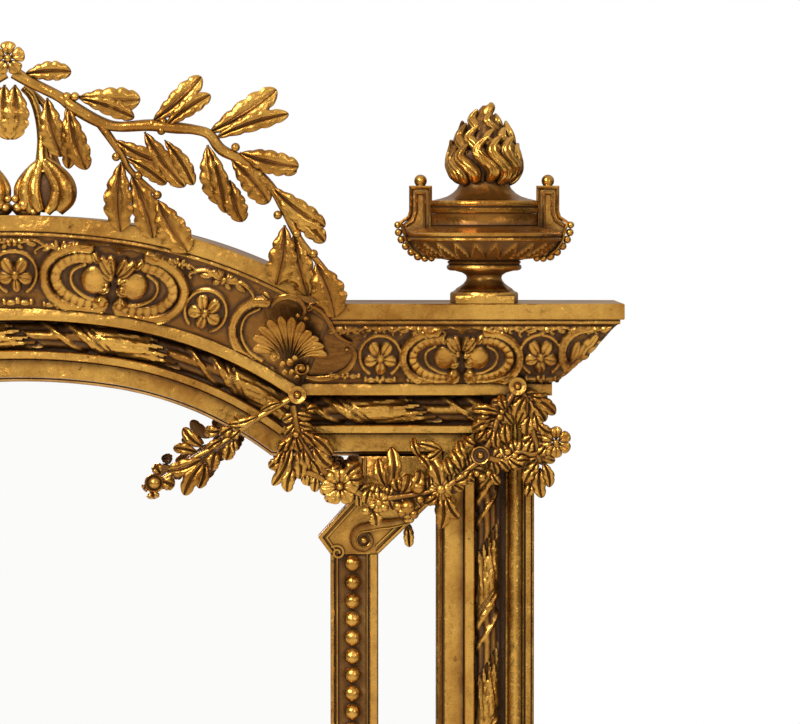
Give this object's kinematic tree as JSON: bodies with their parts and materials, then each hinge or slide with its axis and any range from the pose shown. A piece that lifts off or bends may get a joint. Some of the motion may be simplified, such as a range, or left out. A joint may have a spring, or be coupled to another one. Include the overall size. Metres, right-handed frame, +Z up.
{
  "type": "trumeau mirror",
  "caption": "Tall arched giltwood mirror with a central plate and narrow side plates, moulded rails, winged cornice, laurel crest and flaming urn finials.",
  "frame": {"origin": "on the floor, in the middle of the base's depth and width", "axes": "+Z up, +Y towards the wall, so the viewer stands on the -Y side with +X on the viewer's right"},
  "size_m": [1.518, 0.2615, 2.1215],
  "materials": {
    "giltwood": "water-gilt and burnished over bole and gesso, worn and toned dark in the hollows",
    "mirror_glass": "silvered plate",
    "bare_pine": "sawn and left bare",
    "wrought_iron": "black forge scale",
    "screw_steel": "plain"
  },
  "bodies": {
    "frame": {"arch_cornice": "giltwood", "arch_frieze_carving": "giltwood", "arch_rail": "giltwood", "arch_ribbon_rod": "giltwood", "back_screws": "screw_steel", "bottom_rail": "giltwood", "bottom_ribbon_rod": "giltwood", "central_mirror_plate": "mirror_glass", "centre_backboard": "bare_pine", "crest_bow": "giltwood", "crest_flower": "giltwood", "hanger_plates": "wrought_iron", "left_backboard": "bare_pine", "left_bead_rail": "giltwood", "left_bead_string": "giltwood", "left_corner_shell": "giltwood", "left_cornice": "giltwood", "left_frieze_carving": "giltwood", "left_garland": "giltwood", "left_laurel_branch": "giltwood", "left_lower_bracket": "giltwood", "left_mirror_slip": "mirror_glass", "left_plinth_block": "giltwood", "left_sprig": "giltwood", "left_stile": "giltwood", "left_stile_ribbon_rod": "giltwood", "left_upper_bracket": "giltwood", "left_urn_body": "giltwood", "left_urn_flame": "giltwood", "left_urn_handles": "giltwood", "left_urn_lid": "giltwood", "left_wing_rail": "giltwood", "left_wing_ribbon_rod": "giltwood", "lower_back_batten": "bare_pine", "right_backboard": "bare_pine", "right_bead_rail": "giltwood", "right_bead_string": "giltwood", "right_corner_shell": "giltwood", "right_cornice": "giltwood", "right_frieze_carving": "giltwood", "right_garland": "giltwood", "right_laurel_branch": "giltwood", "right_lower_bracket": "giltwood", "right_mirror_slip": "mirror_glass", "right_plinth_block": "giltwood", "right_sprig": "giltwood", "right_stile": "giltwood", "right_stile_ribbon_rod": "giltwood", "right_upper_bracket": "giltwood", "right_urn_body": "giltwood", "right_urn_flame": "giltwood", "right_urn_handles": "giltwood", "right_urn_lid": "giltwood", "right_wing_rail": "giltwood", "right_wing_ribbon_rod": "giltwood", "rosette_knobs": "giltwood", "upper_back_batten": "bare_pine"},
    "left_ring": {"left_hanger_ring": "wrought_iron"},
    "right_ring": {"right_hanger_ring": "wrought_iron"}
  },
  "joints": [
    {"name": "left_ring_swing", "type": "hinge", "parent": "frame", "child": "left_ring", "pos_m": [-0.4365, 0.0399, 1.487], "axis": [1, 0, 0], "range_deg": [0, 175]},
    {"name": "right_ring_swing", "type": "hinge", "parent": "frame", "child": "right_ring", "pos_m": [0.4365, 0.0399, 1.487], "axis": [1, 0, 0], "range_deg": [0, 175]}
  ]
}
